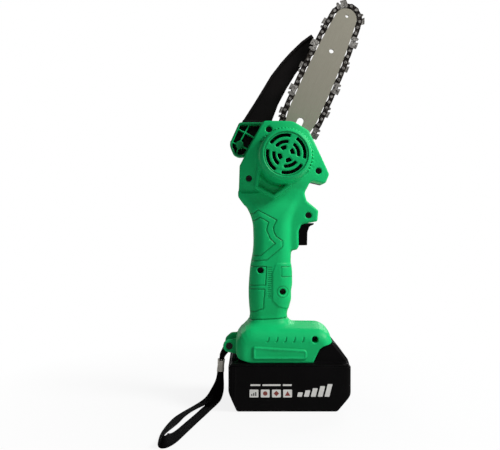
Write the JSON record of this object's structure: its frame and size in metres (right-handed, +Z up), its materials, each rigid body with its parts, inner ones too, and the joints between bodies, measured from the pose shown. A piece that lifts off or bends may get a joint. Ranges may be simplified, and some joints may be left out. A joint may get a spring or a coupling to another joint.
{
  "type": "cordless one-hand chain saw",
  "caption": "Pistol-grip battery chain saw with short guide bar, chip guard, side-mounted drive, slide-in battery foot and wrist strap.",
  "frame": {"origin": "centre of the battery's base face, which the saw stands on", "axes": "+Z up along the grip towards the bar, +X towards the trigger, -Y towards the motor vent"},
  "size_m": [0.1957, 0.1712, 0.4091],
  "materials": {
    "green_plastic": "satin moulded nylon",
    "black_plastic": "fine moulded texture",
    "guard_plastic": "satin",
    "bar_steel": "ground, dull",
    "chain_steel": "blued",
    "bright_steel": "polished",
    "zinc_steel": "plated",
    "dark_screw": "blackened",
    "gear_steel": "hardened",
    "spring_steel": "drawn wire",
    "magnet_ferrite": "sintered",
    "copper": "enamelled wire",
    "carbon": "pressed carbon",
    "white_nylon": "natural nylon",
    "cell_sleeve": "shrink sleeve",
    "nickel": "nickel strip",
    "board": "solder resist",
    "brass_contact": "stamped",
    "wire_sleeve": "silicone sleeve",
    "strap_web": "woven webbing",
    "crimp_metal": "pressed, nickel plated"
  },
  "bodies": {
    "saw": {"housing_near": "green_plastic", "housing_far": "green_plastic", "housing_screws": "dark_screw", "lug_pin": "dark_screw", "side_cover": "black_plastic", "cover_nut": "zinc_steel", "bar_stud": "zinc_steel", "chain_drive_links": "chain_steel", "chain_tie_straps": "chain_steel", "chain_cutters": "bright_steel", "chain_rivets": "bright_steel", "ring_gear": "gear_steel", "gearbox_case": "white_nylon", "spindle_bearing": "bright_steel", "motor_bearing": "bright_steel", "motor_can": "zinc_steel", "motor_magnets": "magnet_ferrite", "carbon_brushes": "carbon", "motor_end_cap": "black_plastic", "guard_pivot_pin": "zinc_steel", "guard_spring": "spring_steel", "trigger_switch": "black_plastic", "trigger_spring": "spring_steel", "lock_spring": "spring_steel", "lock_seat": "white_nylon", "terminal_block": "black_plastic", "terminal_blades": "brass_contact", "wiring": "wire_sleeve", "strap_tether": "strap_web", "strap_crimp": "crimp_metal", "strap_webbing": "strap_web"},
    "battery": {"battery_tub": "black_plastic", "battery_cover": "black_plastic", "battery_cells": "cell_sleeve", "cell_holder": "white_nylon", "cell_links": "nickel", "battery_board": "board", "battery_contacts": "brass_contact", "battery_screws": "dark_screw", "latch_spring": "spring_steel"},
    "latch": {"latch_button": "black_plastic"},
    "trigger": {"trigger": "black_plastic"},
    "lock": {"lock_button": "black_plastic"},
    "guard": {"guard": "guard_plastic"},
    "bar": {"guide_bar": "bar_steel", "tension_block": "zinc_steel"},
    "tensioner": {"tension_screw": "zinc_steel"},
    "rotor": {"motor_shaft": "bright_steel", "motor_armature": "gear_steel", "motor_windings": "copper", "commutator": "copper", "cooling_fan": "black_plastic", "sun_gear": "gear_steel"},
    "output": {"planet_carrier": "gear_steel", "planet_pins": "gear_steel", "drive_sprocket": "gear_steel", "sprocket_clip": "spring_steel"},
    "planet_1": {"planet_gear_1": "gear_steel"},
    "planet_2": {"planet_gear_2": "gear_steel"},
    "planet_3": {"planet_gear_3": "gear_steel"}
  },
  "joints": [
    {"name": "battery_slide", "type": "slide", "parent": "saw", "child": "battery", "axis": [1, 0, 0], "range_m": [0, 0.09]},
    {"name": "latch_press", "type": "slide", "parent": "battery", "child": "latch", "axis": [0, 0, -1], "range_m": [0, 0.0038], "stiffness_N_per_m": 900, "springref_m": -0.003, "deforming": ["latch_spring"]},
    {"name": "trigger_pull", "type": "slide", "parent": "saw", "child": "trigger", "axis": [-1, 0, 0], "range_m": [0, 0.006], "stiffness_N_per_m": 1200, "springref_m": -0.003, "deforming": ["trigger_spring"]},
    {"name": "lock_press", "type": "slide", "parent": "saw", "child": "lock", "axis": [0, -1, 0], "range_m": [0, 0.0025], "stiffness_N_per_m": 800, "springref_m": -0.002, "deforming": ["lock_spring"]},
    {"name": "guard_swing", "type": "hinge", "parent": "saw", "child": "guard", "pos_m": [-0.0484, 0.02, 0.2578], "axis": [0, -1, 0], "range_deg": [0, 45], "stiffness_Nm_per_rad": 0.06, "springref_deg": -28.65},
    {"name": "motor_spin", "type": "hinge", "parent": "saw", "child": "rotor", "pos_m": [-0.0036, -0.01, 0.2447], "axis": [0, 1, 0], "continuous": true},
    {"name": "output_spin", "type": "hinge", "parent": "saw", "child": "output", "pos_m": [-0.0036, 0.01, 0.2447], "axis": [0, 1, 0], "continuous": true},
    {"name": "planet_spin_1", "type": "hinge", "parent": "output", "child": "planet_1", "pos_m": [-0.0036, 0.003, 0.25625], "axis": [0, 1, 0], "continuous": true},
    {"name": "planet_spin_2", "type": "hinge", "parent": "output", "child": "planet_2", "pos_m": [-0.0136, 0.003, 0.23892], "axis": [0, 1, 0], "continuous": true},
    {"name": "planet_spin_3", "type": "hinge", "parent": "output", "child": "planet_3", "pos_m": [0.0064, 0.003, 0.23892], "axis": [0, 1, 0], "continuous": true},
    {"name": "tension_turn", "type": "hinge", "parent": "saw", "child": "tensioner", "pos_m": [0.01479, 0.0236, 0.26388], "axis": [0.4067, 0, 0.9135], "range_deg": [-2057.3, 0]},
    {"name": "bar_tension", "type": "slide", "parent": "saw", "child": "bar", "axis": [0.4067, 0, 0.9135], "range_m": [-0.004, 0]}
  ],
  "couplings": [
    {"joint": "output_spin", "follows": "motor_spin", "ratio": 0.27273},
    {"joint": "planet_spin_1", "follows": "motor_spin", "ratio": -0.87273},
    {"joint": "planet_spin_2", "follows": "motor_spin", "ratio": -0.87273},
    {"joint": "planet_spin_3", "follows": "motor_spin", "ratio": -0.87273},
    {"joint": "tension_turn", "follows": "bar_tension", "rad_per_m": 8976}
  ]
}
